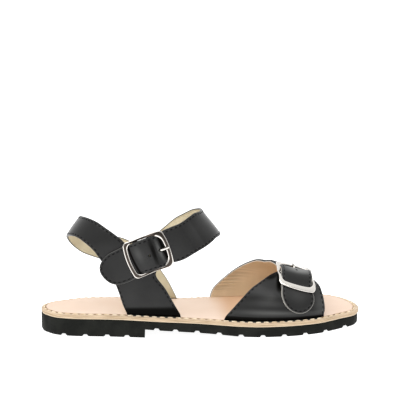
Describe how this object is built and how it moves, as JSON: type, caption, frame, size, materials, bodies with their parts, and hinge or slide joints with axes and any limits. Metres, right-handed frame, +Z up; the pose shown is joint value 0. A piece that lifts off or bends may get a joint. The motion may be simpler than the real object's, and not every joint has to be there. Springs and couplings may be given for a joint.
{
  "type": "avarca sandal",
  "caption": "Right women's flat leather sandal with crossed vamp panels, a heel strap and an ankle strap, two buckles and a low lugged rubber sole.",
  "frame": {"origin": "centre of the flat face under the heel, on the floor", "axes": "+X towards the toe, +Y towards the medial side, +Z up"},
  "size_m": [0.256, 0.0921, 0.096],
  "materials": {
    "rubber_sole": "matt moulded black rubber",
    "welt_leather": "natural tan leather with a cut edge",
    "insole_leather": "pale natural leather",
    "upper_leather": "satin black leather",
    "nickel": "polished nickel plate"
  },
  "bodies": {
    "root": {"outsole": "rubber_sole", "welt": "welt_leather", "insole": "insole_leather", "rear_upper": "upper_leather", "vamp_lateral": "upper_leather", "vamp_medial": "upper_leather", "ankle_buckle_frame": "nickel", "ankle_buckle_prong": "nickel", "vamp_buckle_frame": "nickel", "vamp_buckle_prong": "nickel"}
  },
  "joints": []
}
